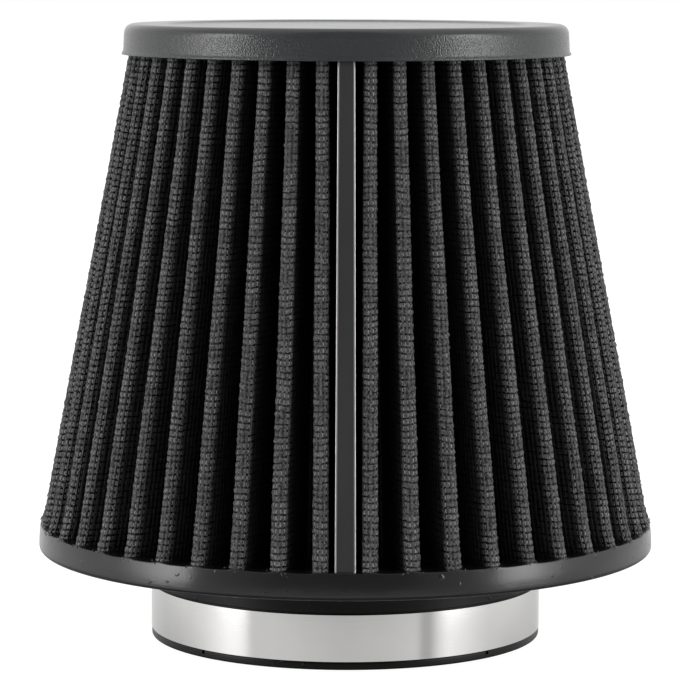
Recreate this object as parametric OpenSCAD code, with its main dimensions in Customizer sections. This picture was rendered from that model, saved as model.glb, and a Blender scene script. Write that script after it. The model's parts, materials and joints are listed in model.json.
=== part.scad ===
// Conical air filter with a moulded rubber base and end cap. The folded filter pack, a
// media sheet between two wire screens, is potted in both. A channel closes the pack's
// seam, and a worm-drive clamp holds the neck on a pipe.
// The axis is Z, the mouth of the neck is at z = 0 and the seam faces -Y.

/* [Overall] */
// Height from the mouth of the neck to the top of the cap
overall_h = 171.8; // [150:0.2:200]

/* [Neck] */
// Inside diameter of the neck
neck_bore_d = 101.6; // [96:0.1:106]
// Wall of the neck in the clamp's groove
neck_wall = 3.4; // [2.8:0.1:4.2]
// Height from the mouth to the underside of the base ring
neck_len = 24.8; // [23:0.2:32]
// Height of the lip below the clamp
lip_h = 2.3; // [1.6:0.1:2.4]
// How far the lip and the shoulder stand out from the groove
lip_proud = 0.6; // [0.4:0.05:0.8]
// Fillet from the neck to the underside of the ring
neck_fillet = 3; // [1.5:0.5:4]
// Chamfer inside the mouth
mouth_chamfer = 0.6; // [0.3:0.1:1]
// Round from the bore to the top face of the ring
throat_r = 4; // [2:0.5:5]
// Width of the moulding notches in the lip
notch_w = 1; // [0.6:0.1:1.5]

/* [Base ring] */
// Diameter of the base ring
base_d = 173; // [165:1:185]
// Thickness of the base ring
base_h = 7.2; // [6.5:0.1:9]
// Round on the ring's lower edge
base_edge_r = 1.25; // [1:0.25:2.5]
// Distance from the pleats to the ring's edge
base_rim = 1.7; // [1.5:0.1:2.5]

/* [Cap] */
// Diameter of the cap at its lip
cap_d = 125.4; // [118:0.2:132]
// Height of the cap
cap_h = 8.5; // [7.5:0.5:10]
// Distance from the pleats to the cap's edge
cap_rim = 1.9; // [1.7:0.1:2.6]
// Round on the cap's top edge
cap_edge_r = 2.6; // [1.5:0.1:3]
// How far the cap's side leans in
cap_draft = 0.3; // [0.1:0.1:0.6]
// How far the lip flares out
cap_flare = 0.5; // [0.2:0.1:0.7]
// Depth of the skirt around the pleats
cap_skirt = 1; // [0.6:0.1:1.5]
// Diameter of the shallow panel in the top face
panel_d = 102; // [60:1:108]
// Depth of the panel
panel_depth = 0.5; // [0.3:0.1:1]

/* [Pleats] */
// Number of pleats, the one that the seam closes included
pleat_count = 48; // [36:1:52]
// Depth of the pleats, from crest to inner fold
pleat_depth = 20; // [14:0.5:22]
// Inner radius of the crests' folds at the base
fold_r_base = 0.75; // [0.5:0.05:1]
// Inner radius of the crests' folds at the cap
fold_r_cap = 0.25; // [0.2:0.05:0.4]
// Radius of the folds in the valleys
valley_r = 0.4; // [0.3:0.05:0.5]
// Thickness of the wire screens
screen_t = 0.3; // [0.2:0.05:0.35]
// Thickness of the filter media
media_t = 0.8; // [0.5:0.05:1]
// Gap between the layers
layer_gap = 0.05; // [0.03:0.01:0.08]
// How deep the pack's ends are potted
pot_depth = 4; // [2.5:0.5:5]
// Clearance around the potted ends
pot_gap = 0.1; // [0.05:0.01:0.12]

/* [Seam] */
// Distance from the seam to the crests beside it
seam_room = 6.3; // [6.2:0.1:7.5]
// Thickness of the channel's sheet
seam_sheet = 0.4; // [0.4:0.05:0.6]
// Reach of the channel's legs past the crest
seam_leg = 4; // [2.5:0.25:4.5]
// Clearance from the crest's sides to the legs
seam_gap = 0.1; // [0.08:0.01:0.25]
// Thickness of the strip on the channel's face
label_t = 0.15; // [0.1:0.05:0.2]
// Bare edge of the channel beside the strip
label_margin = 0.5; // [0.3:0.1:1]

/* [Clamp] */
// Width of the band
band_w = 12.7; // [11:0.1:14]
// Thickness of the band
band_t = 0.65; // [0.5:0.05:0.8]
// Width of the band's slots
slot_w = 1.3; // [1:0.1:1.6]
// Length of the band's slots
slot_l = 7.6; // [6:0.2:9]
// Distance from slot to slot
slot_pitch = 3; // [2.6:0.1:4]
// Diameter of the worm
worm_d = 8.4; // [7.6:0.1:9]
// Length of the housing along the worm
housing_len = 15.2; // [13:0.2:18]
// Thickness of the housing's and saddle's sheet
housing_t = 0.6; // [0.5:0.05:0.7]
// Width of the screw's head across its flats
hex_af = 8; // [7:0.1:8.4]
// Height of the screw's head
hex_h = 4.5; // [3.5:0.1:6]

/* [Hidden] */
$fn = 144;

// Margin by which a cutter passes through a face
cut = 0.5;
seam_a = -90;
clamp_a = 90;

// Neck and ring
bore_r = neck_bore_d / 2;
groove_r = bore_r + neck_wall;
lip_r = groove_r + lip_proud;
lip_edge_r = 0.5;
groove_play = 0.5;
shoulder_z = lip_h + band_w + groove_play;
base_r = base_d / 2;
ring_top = neck_len + base_h;
notch_angles = [45, 135, 225, 315];
notch_depth = 1;
notch_h = lip_h / 2;

// Cap
cap_r = cap_d / 2;
cap_lip_z = overall_h - cap_h;
cap_face_z = cap_lip_z + cap_skirt;
cap_flare_h = 1.2;
cap_side_r = cap_r - cap_flare;
cap_top_r = cap_side_r - cap_draft;

// Pleats: the pack's outer face is a cone between the ring's top and the cap's lip
pack_t = 2 * screen_t + media_t + 2 * layer_gap;
crest_base_r = base_r - base_rim;
crest_cap_r = cap_r - cap_rim;
pack_z0 = ring_top - pot_depth;
pack_z1 = cap_face_z + pot_depth;
crest_points = 4;
valley_points = 3;
media_o = screen_t + layer_gap;
inner_o = media_o + media_t + layer_gap;

// Seam channel and its strip
seam_lift = 0.1;
label_end = 0.3;
skirt_gap = 0.3;
skirt_r = crest_cap_r + seam_lift + seam_sheet + label_t + skirt_gap;

// Clamp: one strip whose head end lies under the worm. It goes once round the neck, then
// its tail leaves the circle on a wider arc, over the head end and under the worm.
band_gap = 0.05;
band_r = groove_r + band_gap;
clamp_z = lip_h + band_w / 2;
head_end_a = clamp_a + 8;
rise_a = clamp_a + 60;
over_r = band_r + band_t + band_gap;
over_a = rise_a - head_end_a;
tail_off = (over_r * over_r - band_r * band_r) / (2 * (band_r - over_r * cos(over_a)));
tail_r = band_r + tail_off;
tail_turn = 98;
// The tail's section is this much smaller all round than the circle's that it leaves
tail_step = 0.02;
tail_corner = 2.5;
slot_step = slot_pitch / tail_r * 180 / PI;
slot_tilt = 6.5;
slot_lead = 4;
slot_tail_end = 25;

// Saddle under the band, housing over it and the screw between them
saddle_half_a = housing_len / 2 / band_r * 180 / PI + 0.6;
housing_half_a = housing_len / 2 / band_r * 180 / PI;
saddle_r = band_r - 0.03 - housing_t;
saddle_in = band_w / 2 + 0.1;
saddle_out = saddle_in + housing_t;
saddle_top_r = tail_reach(clamp_a - housing_half_a) + 0.2;
relief_gap = 0.05;
side_cut_a = 0.3;
worm_r = worm_d / 2;
worm_gap = 0.1;
worm_lift = 0.25;
worm_y = tail_r + band_t - tail_off * sin(rise_a) + worm_lift + worm_r;
hump_r = worm_r + worm_gap;
hump_out_r = hump_r + housing_t;
shoulder_r = saddle_top_r + 0.05;
shoulder_low_y = sqrt(shoulder_r * shoulder_r - housing_len * housing_len / 4);
skirt_in = saddle_out + 0.05;
skirt_out = skirt_in + housing_t;
skirt_low_r = lip_r + 0.1;
housing_x = housing_len / 2;
pilot_r = 2;
pilot_gap = 0.05;
pilot_out = 0.6;
flange_t = 1;
flange_r = hump_r + 0.3;
flange_gap = 0.3;
end_gap = 0.2;
thread_depth = 1;
worm_x0 = -housing_x + housing_t + end_gap;
worm_x1 = housing_x - 1.2;
flange_x = housing_x + flange_gap;
hex_chamfer = 0.5;
drive_slot_w = 1.2;
drive_slot_depth = 2;

function lerp(a, b, t) = a + (b - a) * t;

// Radius of the pack's outer face at height z
function crest_r(z) =
    lerp(crest_base_r, crest_cap_r, (z - ring_top) / (cap_lip_z - ring_top));

// Half of a crest's width at height z
function crest_w(z) =
    pack_t + lerp(fold_r_base, fold_r_cap, (z - pack_z0) / (pack_z1 - pack_z0));

function turned(p, a) = [p.x * cos(a) - p.y * sin(a), p.x * sin(a) + p.y * cos(a)];

// Distance from the Z axis to the outer face of the band's tail, at angle a
function tail_reach(a) =
    let(
        turn = rise_a - a,
        out_r = tail_r + band_t
    )
    sqrt(out_r * out_r - pow(tail_off * sin(turn), 2)) - tail_off * cos(turn);

// Angle from the seam to crest k at height z. The seam closes crest 0, the crests on both
// sides of it stand close to its channel, and the others share the rest of the turn.
function crest_a(k, z) =
    let(beside = seam_room / (crest_r(z) - crest_w(z)) * 180 / PI)
    k == 0 ? 0 : k == pleat_count ? 360 : lerp(beside, 360 - beside, (k - 1) / (pleat_count - 2));

// Folded outline at height z, o inside the pack's outer face. Each crest is an arc about
// one centre and each valley an arc about another, joined by the tangent that crosses
// between them, so outlines with different o stay parallel.
function pleat_outline(z, o) =
    let(
        w = crest_w(z),
        crest_c = crest_r(z) - w,
        valley_c = crest_r(z) - pleat_depth + pack_t + valley_r,
        turns = [for (k = [0 : pleat_count]) crest_a(k, z)],
        halves = [for (k = [0 : pleat_count - 1]) (turns[k + 1] - turns[k]) / 2],
        tilts = [for (half = halves)
            let(d = turned([valley_c, 0], half) - [crest_c, 0])
            atan2(d.y, d.x) - acos((w + valley_r) / norm(d))]
    )
    [for (k = [0 : pleat_count - 1], i = [0 : crest_points + valley_points - 1])
        let(
            crest = i < crest_points,
            t = crest ? i / (crest_points - 1) : (i - crest_points) / (valley_points - 1),
            before = tilts[(k + pleat_count - 1) % pleat_count],
            bend = tilts[k] - halves[k],
            a = crest ? lerp(-before, tilts[k], t) : 180 + lerp(bend, -bend, t),
            r = crest ? w - o : valley_r + o,
            p = [crest ? crest_c : valley_c, 0] + r * [cos(a), sin(a)]
        )
        turned(p, seam_a + turns[k] + (crest ? 0 : halves[k]))];

// The same outline on the straight lines from the pack's lower end to its upper end
function pack_outline(z, o) =
    let(
        low = pleat_outline(pack_z0, o),
        high = pleat_outline(pack_z1, o),
        t = (z - pack_z0) / (pack_z1 - pack_z0)
    )
    [for (i = [0 : len(low) - 1]) let(p = lerp(low[i], high[i], t)) [p.x, p.y, z]];

// Folded sheet from height z0 to z1, between the offsets o_out and o_in
module pleated(z0, z1, o_out, o_in) {
    n = pleat_count * (crest_points + valley_points);
    walls = [for (i = [0 : n - 1])
        let(
            j = (i + 1) % n
        )
        each [
            [i, n + i, n + j], [i, n + j, j],
            [2 * n + i, 3 * n + j, 3 * n + i], [2 * n + i, 2 * n + j, 3 * n + j],
            [i, j, 2 * n + j], [i, 2 * n + j, 2 * n + i],
            [n + i, 3 * n + j, n + j], [n + i, 3 * n + i, 3 * n + j]
        ]];
    polyhedron(
        points = concat(
            pack_outline(z0, o_out), pack_outline(z1, o_out),
            pack_outline(z0, o_in), pack_outline(z1, o_in)
        ),
        faces = walls,
        convexity = 20
    );
}

// Sector of a ring about the Z axis, from angle a0 to a1
module ring_sector(r0, r1, z0, z1, a0, a1) {
    rotate([0, 0, a0])
        rotate_extrude(angle = a1 - a0)
            translate([r0, z0])
                square([r1 - r0, z1 - z0]);
}

module top_cap() {
    color("#4a4a4c")
        difference() {
            rotate_extrude()
                difference() {
                    union() {
                        polygon([
                            [0, cap_lip_z], [cap_r, cap_lip_z],
                            [cap_side_r, cap_lip_z + cap_flare_h],
                            [cap_top_r, overall_h - cap_edge_r],
                            [cap_top_r - cap_edge_r, overall_h], [0, overall_h]
                        ]);
                        translate([cap_top_r - cap_edge_r, overall_h - cap_edge_r])
                            circle(cap_edge_r);
                    }
                    translate([-cut, cap_lip_z - cut])
                        square([skirt_r + cut, cap_skirt + cut]);
                    translate([-cut, overall_h - panel_depth])
                        square([panel_d / 2 + cut, panel_depth + cut]);
                }
            pleated(cap_face_z - cut, pack_z1, -pot_gap, pack_t + pot_gap);
        }
}

// Profile of the base: neck, lip, shoulder and ring
module base_profile() {
    difference() {
        union() {
            translate([bore_r, lip_edge_r])
                square([groove_r - bore_r, ring_top - lip_edge_r]);
            translate([bore_r, 0])
                square([lip_r - lip_edge_r - bore_r, lip_h]);
            translate([groove_r - cut, lip_edge_r])
                square([lip_proud + cut, lip_h - lip_edge_r]);
            translate([lip_r - lip_edge_r, lip_edge_r])
                circle(lip_edge_r);
            translate([groove_r - cut, shoulder_z])
                square([lip_proud + cut, ring_top - shoulder_z]);
            translate([lip_r - cut, neck_len - neck_fillet])
                square([neck_fillet + cut, neck_fillet + cut]);
            translate([bore_r, neck_len])
                square([base_r - base_edge_r - bore_r, base_h]);
            translate([bore_r, neck_len + base_edge_r])
                square([base_r - bore_r, base_h - base_edge_r]);
            translate([base_r - base_edge_r, neck_len + base_edge_r])
                circle(base_edge_r);
        }
        translate([lip_r + neck_fillet, neck_len - neck_fillet])
            circle(neck_fillet);
        difference() {
            translate([bore_r - cut, ring_top - throat_r])
                square([throat_r + cut, throat_r + cut]);
            translate([bore_r + throat_r, ring_top - throat_r])
                circle(throat_r);
            translate([bore_r + throat_r, ring_top - throat_r])
                square([throat_r + cut, throat_r]);
        }
        polygon([
            [bore_r - cut, -cut], [bore_r + mouth_chamfer + cut, -cut],
            [bore_r - cut, mouth_chamfer + cut]
        ]);
    }
}

module base_flange() {
    color("#2b2b2c")
        difference() {
            rotate_extrude()
                base_profile();
            pleated(pack_z0, ring_top + cut, -pot_gap, pack_t + pot_gap);
            ring_sector(saddle_r - relief_gap, lip_r + cut,
                clamp_z - saddle_out - relief_gap, clamp_z + saddle_out + relief_gap,
                clamp_a - saddle_half_a - side_cut_a, clamp_a + saddle_half_a + side_cut_a);
            for (a = notch_angles)
                rotate([0, 0, a])
                    translate([lip_r - notch_depth, -notch_w / 2, lip_h - notch_h])
                        cube([notch_depth + cut, notch_w, notch_h + cut]);
        }
}

module outer_screen() {
    color("#3a3b3d")
        pleated(pack_z0, pack_z1, 0, screen_t);
}

module filter_media() {
    color("#1c1c1e")
        pleated(pack_z0, pack_z1, media_o, media_o + media_t);
}

module inner_screen() {
    color("#454649")
        pleated(pack_z0, pack_z1, inner_o, pack_t);
}

// Block between two rectangles across the seam's plane, from height z0 to z1. Each is
// given by its nearest and farthest distance from the axis and half its width.
module seam_block(low, high, z0, z1) {
    corners = [for (r = [[low, z0], [high, z1]])
        each [
            [r[0][0], -r[0][2], r[1]], [r[0][1], -r[0][2], r[1]],
            [r[0][1], r[0][2], r[1]], [r[0][0], r[0][2], r[1]]
        ]];
    rotate([0, 0, seam_a])
        polyhedron(
            points = corners,
            faces = [[0, 1, 2, 3], [7, 6, 5, 4], [0, 4, 5, 1], [1, 5, 6, 2], [2, 6, 7, 3], [3, 7, 4, 0]],
            convexity = 2
        );
}

// Half of the channel's inner width at height z
function seam_half(z) = crest_w(z) + seam_gap;

// Outer face of the channel at height z
function seam_face(z) = crest_r(z) + seam_lift + seam_sheet;

// Rectangles of the channel, of the space inside it and of the strip at height z
function channel_rect(z) = [crest_r(z) - seam_leg, seam_face(z), seam_half(z) + seam_sheet];
function hollow_rect(z) = [crest_r(z) - seam_leg - cut, seam_face(z) - seam_sheet, seam_half(z)];
function label_rect(z) =
    [seam_face(z), seam_face(z) + label_t, seam_half(z) + seam_sheet - label_margin];

module seam_clip() {
    z0 = ring_top;
    z1 = cap_face_z;
    color("#b9babd")
        difference() {
            seam_block(channel_rect(z0), channel_rect(z1), z0, z1);
            seam_block(hollow_rect(z0 - cut), hollow_rect(z1 + cut), z0 - cut, z1 + cut);
        }
}

module seam_label() {
    z0 = ring_top + label_end;
    z1 = cap_face_z - label_end;
    color("#2a2a2c")
        seam_block(label_rect(z0), label_rect(z1), z0, z1);
}

// Puts its children on the strip's inner face, at a turn from the tail's end
module on_strip(turn) {
    if (turn < tail_turn)
        on_tail(turn - tail_turn)
            translate([tail_r, 0, clamp_z])
                children();
    else
        rotate([0, 0, rise_a + turn - tail_turn])
            translate([band_r, 0, clamp_z])
                children();
}

// Turns its children about the tail's own centre
module on_tail(a) {
    rotate([0, 0, rise_a])
        translate([-tail_off, 0, 0])
            rotate([0, 0, a])
                children();
}

// Slanted slots through the strip, from the tail's end to a little past the rise
module band_slots() {
    before = floor((tail_turn - slot_lead) / slot_step - 0.5);
    after = floor(slot_tail_end / slot_step - 0.5);
    depth = band_t + cut;
    for (i = [-before - 1 : after])
        on_strip(tail_turn + (i + 0.5) * slot_step)
            rotate([slot_tilt, 0, 0])
                translate([-band_gap / 2, -slot_w / 2, -slot_l / 2])
                    cube([depth, slot_w, slot_l]);
}

// Corners cut off the tail's end
module tail_corners() {
    for (side = [-1, 1])
        on_strip(0)
            translate([0, 0, side * band_w / 2])
                rotate([45, 0, 0])
                    cube([4 * band_t, tail_corner, tail_corner], center = true);
}

module clamp_band() {
    z0 = clamp_z - band_w / 2;
    z1 = clamp_z + band_w / 2;
    color("#c9cacc")
        difference() {
            union() {
                ring_sector(band_r, band_r + band_t, z0, z1, rise_a - 360, head_end_a);
                on_tail(0)
                    ring_sector(tail_r + tail_step, tail_r + band_t - tail_step,
                        z0 + tail_step, z1 - tail_step, -tail_turn, 0);
            }
            band_slots();
            tail_corners();
        }
}

module clamp_saddle() {
    a0 = clamp_a - saddle_half_a;
    a1 = clamp_a + saddle_half_a;
    color("#bfc0c2")
        difference() {
            ring_sector(saddle_r, saddle_top_r, clamp_z - saddle_out, clamp_z + saddle_out, a0, a1);
            ring_sector(saddle_r + housing_t, saddle_top_r + cut, clamp_z - saddle_in, clamp_z + saddle_in,
                a0 - side_cut_a, a1 + side_cut_a);
        }
}

// Runs a section along the worm, from x0 to x1: its x lies across the band, its y outwards
module along_worm(x0, x1) {
    translate([x0, worm_y, clamp_z])
        rotate([0, 90, 0])
            linear_extrude(x1 - x0)
                children();
}

// Arch of radius r about the worm's axis, with straight sides down to the distance low_r
module arch(r, low_r) {
    circle(r);
    translate([-r, low_r - worm_y])
        square([2 * r, worm_y - low_r]);
}

module clamp_housing() {
    a0 = clamp_a - housing_half_a;
    a1 = clamp_a + housing_half_a;
    color("#c3c4c6")
        difference() {
            union() {
                difference() {
                    ring_sector(skirt_low_r, shoulder_r + housing_t,
                        clamp_z - skirt_out, clamp_z + skirt_out, a0, a1);
                    ring_sector(skirt_low_r - cut, shoulder_r,
                        clamp_z - skirt_in, clamp_z + skirt_in, a0 - side_cut_a, a1 + side_cut_a);
                }
                along_worm(-housing_x, housing_x)
                    arch(hump_out_r, shoulder_low_y);
            }
            along_worm(-housing_x + housing_t, housing_x + cut)
                arch(hump_r, shoulder_low_y - cut);
            along_worm(-housing_x - cut, -housing_x + housing_t + cut)
                circle(pilot_r + pilot_gap);
        }
}

module clamp_screw() {
    hex_r = hex_af / 2 / cos(30);
    hex_x = flange_x + flange_t;
    color("#d0d1d3")
        difference() {
            union() {
                along_worm(-housing_x - pilot_out, worm_x0 + cut)
                    circle(pilot_r);
                along_worm(worm_x0, worm_x1)
                    circle(worm_r);
                along_worm(worm_x1 - cut, flange_x + cut)
                    circle(worm_r - thread_depth);
                along_worm(flange_x, hex_x)
                    circle(flange_r);
                intersection() {
                    along_worm(flange_x + flange_t / 2, hex_x + hex_h)
                        circle(hex_r, $fn = 6);
                    translate([flange_x, worm_y, clamp_z])
                        rotate([0, 90, 0])
                            union() {
                                cylinder(r = hex_r + cut, h = flange_t + hex_h - hex_chamfer);
                                translate([0, 0, flange_t + hex_h - hex_chamfer])
                                    cylinder(r1 = hex_r, r2 = hex_r - 2 * hex_chamfer, h = hex_chamfer);
                            }
                }
            }
            translate([hex_x + hex_h - drive_slot_depth / 2, worm_y, clamp_z])
                cube([drive_slot_depth + 0.01, drive_slot_w, 2 * hex_r + cut], center = true);
        }
}

top_cap();
base_flange();
outer_screen();
filter_media();
inner_screen();
seam_clip();
seam_label();
clamp_band();
clamp_saddle();
clamp_housing();
clamp_screw();
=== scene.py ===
import json
import math

import bmesh
import bpy
import numpy as np
from mathutils import Matrix


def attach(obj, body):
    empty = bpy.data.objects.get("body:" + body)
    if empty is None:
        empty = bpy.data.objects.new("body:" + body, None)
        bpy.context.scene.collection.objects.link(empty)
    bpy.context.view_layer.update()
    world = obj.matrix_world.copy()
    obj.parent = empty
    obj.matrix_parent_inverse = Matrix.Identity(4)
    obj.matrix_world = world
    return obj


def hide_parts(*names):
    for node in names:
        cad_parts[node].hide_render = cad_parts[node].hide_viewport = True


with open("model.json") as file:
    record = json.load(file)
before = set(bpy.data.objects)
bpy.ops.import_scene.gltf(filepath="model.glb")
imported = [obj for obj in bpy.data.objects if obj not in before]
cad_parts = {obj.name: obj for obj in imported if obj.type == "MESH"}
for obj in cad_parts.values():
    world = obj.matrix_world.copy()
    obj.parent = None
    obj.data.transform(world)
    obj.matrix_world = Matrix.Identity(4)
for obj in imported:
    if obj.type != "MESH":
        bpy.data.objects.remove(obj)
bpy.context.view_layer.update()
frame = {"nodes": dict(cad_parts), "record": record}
nodes = frame["nodes"]
slots = {row["node"]: row["material_slot"] for row in frame["record"]["subparts"]}
mm = 0.001
hair = 0.01  # mm: between two points that make a sharp step
print("frame loaded")


class Link:  # one socket in a sum; numbers and other links are added, scaled or compared
    def __init__(self, tree, socket):
        self.tree = tree
        self.socket = socket

    def maths(self, operation, *values, clamp=False):
        node = self.tree.nodes.new("ShaderNodeMath")
        node.operation = operation
        node.use_clamp = clamp
        for place, value in zip(node.inputs, values):
            plug(self.tree, value, place)
        return Link(self.tree, node.outputs[0])

    def __add__(self, other):
        return self.maths("ADD", self, other)

    def __radd__(self, other):
        return self.maths("ADD", other, self)

    def __sub__(self, other):
        return self.maths("SUBTRACT", self, other)

    def __rsub__(self, other):
        return self.maths("SUBTRACT", other, self)

    def __mul__(self, other):
        return self.maths("MULTIPLY", self, other)

    def __rmul__(self, other):
        return self.maths("MULTIPLY", other, self)

    def __truediv__(self, other):
        return self.maths("DIVIDE", self, other)

    def __rtruediv__(self, other):
        return self.maths("DIVIDE", other, self)

    def __abs__(self):
        return self.maths("ABSOLUTE", self)

    def gap(self):  # 0 on a whole number, 1 halfway between two
        shifted = self + 0.5
        return abs(shifted.maths("FRACT", shifted) - 0.5) * 2

    def least(self, other):
        return self.maths("MINIMUM", self, other)

    def most(self, other):
        return self.maths("MAXIMUM", self, other)

    def clamped(self):  # between 0 and 1
        return self.maths("ADD", self, 0.0, clamp=True)

    def above(self, edge, width):  # 0 below edge - width, 1 above edge + width, smooth between
        low = edge - width
        t = self.maths("MULTIPLY", self - low, 0.5 / width, clamp=True)
        return t * t * (3 - 2 * t)


def plug(tree, value, place):
    if isinstance(value, Link):
        tree.links.new(value.socket, place)
    else:
        place.default_value = value


class Paint:  # one node tree, of a material or the world
    def __init__(self, owner):
        owner.use_nodes = True
        self.owner = owner
        self.tree = owner.node_tree
        self.tree.nodes.clear()

    def add(self, kind, settings=None, values=None, output=0):
        node = self.tree.nodes.new("ShaderNode" + kind)
        for name, value in (settings or {}).items():
            if name == "stops":
                setStops(node.color_ramp, value)
            else:
                setattr(node, name, value)
        for name, value in (values or {}).items():
            plug(self.tree, value, node.inputs[name])
        return Link(self.tree, node.outputs[output])

    def part(self, vector, which):  # x, y or z of a vector
        return self.add("SeparateXYZ", values={"Vector": vector}, output="XYZ".index(which))

    def place(self, scale=(1, 1, 1)):  # Object coordinates, stretched
        spot = self.add("TexCoord", output="Object")
        return self.add("Mapping", values={"Vector": spot, "Scale": scale})

    def noise(self, vector, size, detail=2.0, roughness=0.5):  # size of a grain in metres
        values = {"Vector": vector, "Scale": 1 / size, "Detail": detail, "Roughness": roughness}
        return self.add("TexNoise", {"noise_dimensions": "3D"}, values)

    def blend(self, share, low, high):  # between two colours
        return self.add("Mix", {"data_type": "RGBA"}, {0: share, 6: low, 7: high}, output=2)

    def bump(self, height, depth):  # depth in metres for a height of 1
        return self.add("Bump", values={"Height": height, "Distance": depth, "Strength": 1.0})

    def output(self, surface, kind="Material"):
        node = self.tree.nodes.new("ShaderNodeOutput" + kind)
        plug(self.tree, surface, node.inputs["Surface"])
        return self.owner


def setStops(ramp, stops):
    while len(ramp.elements) < len(stops):
        ramp.elements.new(0.5)  # each is put in its place below
    for element, (position, colour) in zip(ramp.elements, stops):
        element.position = position
        element.color = colour


def grey(level, warm=0.0):  # warm is the share that red gains and blue loses
    return (level * (1 + warm), level, level * (1 - warm), 1)


def newPaint(name):
    return Paint(bpy.data.materials.new(name))


view = {  # fitted to the photo; metres, degrees and mm
    "location": (0.0, -0.9533, 0.19221),
    "pitch": 6.70,  # down
    "yaw": -0.0706,
    "roll": 0.14,
    "lens": 175.2,
    "sensor": 36,
}


def makeCamera():
    data = bpy.data.cameras.new("photoView")
    data.lens = view["lens"]
    data.sensor_width = view["sensor"]
    camera = bpy.data.objects.new("photoView", data)
    bpy.context.scene.collection.objects.link(camera)
    yaw, pitch, roll = (math.radians(view[name]) for name in ("yaw", "pitch", "roll"))
    camera.location = view["location"]
    turn = Matrix.Rotation(yaw, 3, "Z") @ Matrix.Rotation(math.pi / 2 - pitch, 3, "X")
    camera.rotation_euler = (turn @ Matrix.Rotation(roll, 3, "Z")).to_euler()
    bpy.context.scene.camera = camera


studio = {  # levels as the object sees them, by azimuth in degrees, 0 behind the camera
    "brightest": 7.0,
    "lamps": [  # above the horizon: a dark front between two softboxes, white all round
        (-180, 0.85), (-130, 0.9), (-106, 1.0), (-88, 1.5), (-76, 4.6), (-70, 6.6), (-62, 6.6),
        (-57, 0.8), (-24, 0.2), (20, 0.2), (54, 0.8), (62, 6.4), (72, 6.4), (78, 3.8), (88, 1.5),
        (106, 1.0), (130, 0.9), (180, 0.85),
    ],
    "table": [  # below it: the white table, with the softboxes mirrored in it
        (-180, 0.72), (-130, 0.73), (-114, 0.81), (-102, 0.91), (-92, 1.04), (-82, 1.22),
        (-73, 1.46), (-65, 1.46), (-61, 1.30), (-57, 0.84), (-40, 0.87), (-20, 0.78), (0, 0.74),
        (20, 0.76), (43, 0.86), (46, 0.55), (51, 0.55), (54, 0.86), (58, 1.12), (63, 1.34),
        (74, 1.16), (84, 1.02), (94, 0.92), (116, 0.84), (130, 0.79), (152, 0.68), (180, 0.72),
    ],
    "boxHead": (34.0, 4),  # height of the softboxes' upper edge and how soft it is, in degrees
    "over": 0.9,  # level straight above
    "horizon": (-7.2, 1.5),  # where lamps and table meet
    "tableEven": -11.5,  # the height at which the table has its own level
    "tableSlope": 0.09,  # how fast the table behind the object pales above it, for each degree
    "tableDrop": -6.0,  # no darker than this many degrees below it
    "behind": (0.1, 0.4),  # where behind begins, as the direction's y, and how softly
    "under": 0.2,  # level straight below, where the object shades its table
    "underHead": (-34, 12),  # and the height at which that begins
}


# The level of the studio by azimuth comes from two ramps, one above and one below the horizon;
# both change with the height, in degrees.
def makeWorld():
    world = bpy.data.worlds.new("studio")
    bpy.context.scene.world = world
    paint = Paint(world)
    way = paint.add("TexCoord", output="Generated")
    x, y, z = paint.part(way, "X"), paint.part(way, "Y"), paint.part(way, "Z")
    share = x.maths("ARCTAN2", x, y * -1) / (2 * math.pi) + 0.5
    height = z.maths("ARCSINE", z) * math.degrees(1)
    rings = []
    for name in ("lamps", "table"):
        stops = [(a / 360 + 0.5, grey(level / studio["brightest"])) for a, level in studio[name]]
        rings.append(paint.add("ValToRGB", {"stops": stops}, {"Fac": share}) * studio["brightest"])
    lamps, table = rings
    fill = lamps.least(studio["over"])
    lamps = lamps + height.above(*studio["boxHead"]) * (fill - lamps)
    rise = (height - studio["tableEven"]).most(studio["tableDrop"])
    table = table * (1 + rise * y.above(*studio["behind"]) * studio["tableSlope"])
    table = table + (1 - height.above(*studio["underHead"])) * (studio["under"] - table)
    level = table + height.above(*studio["horizon"]) * (lamps - table)
    seen = paint.add("LightPath", output="Is Camera Ray")
    level = level + seen * (1 - level)  # plain white behind the object
    light = paint.add("Background", values={"Color": (1, 1, 1, 1), "Strength": level})
    paint.output(light, "World")


floorLook = {
    "radius": 6.0,
    "height": -0.00002,  # a hair under the mouth, so the two don't share a plane
    "white": 0.9,
    "lift": 0.72,  # share of plain white that the camera sees, so the shadow stays soft
    "glow": 1.3,  # its strength
}


def makeFloor():
    paint = newPaint("paleFloor")
    camera = paint.add("LightPath", output="Is Camera Ray")
    glossy = paint.add("LightPath", output="Is Glossy Ray")  # metal sees the studio's table
    matte = paint.add("BsdfDiffuse", values={"Color": grey(floorLook["white"])})
    white = paint.add("Emission", values={"Color": grey(1.0), "Strength": floorLook["glow"]})
    shown = paint.add("MixShader", values={0: camera * floorLook["lift"], 1: matte, 2: white})
    clear = paint.add("BsdfTransparent")
    paint.output(paint.add("MixShader", values={0: glossy, 1: shown, 2: clear}))
    r, z = floorLook["radius"], floorLook["height"]
    mesh = bpy.data.meshes.new("floor")
    mesh.from_pydata([(-r, -r, z), (r, -r, z), (r, r, z), (-r, r, z)], [], [(0, 1, 2, 3)])
    floor = bpy.data.objects.new("floor", mesh)
    bpy.context.scene.collection.objects.link(floor)
    mesh.materials.append(paint.owner)


makeCamera()
makeWorld()
makeFloor()
bpy.context.scene.view_settings.view_transform = "Standard"
print("camera, world and floor made")


def principled(paint, colour, roughness, normal=None, **others):
    values = {"Base Color": colour, "Roughness": roughness}
    if normal:
        values["Normal"] = normal
    values.update(others)
    return paint.output(paint.add("BsdfPrincipled", values=values))


def roughAt(look, share):
    return look["rough"][0] + share * look["rough"][1]


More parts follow.
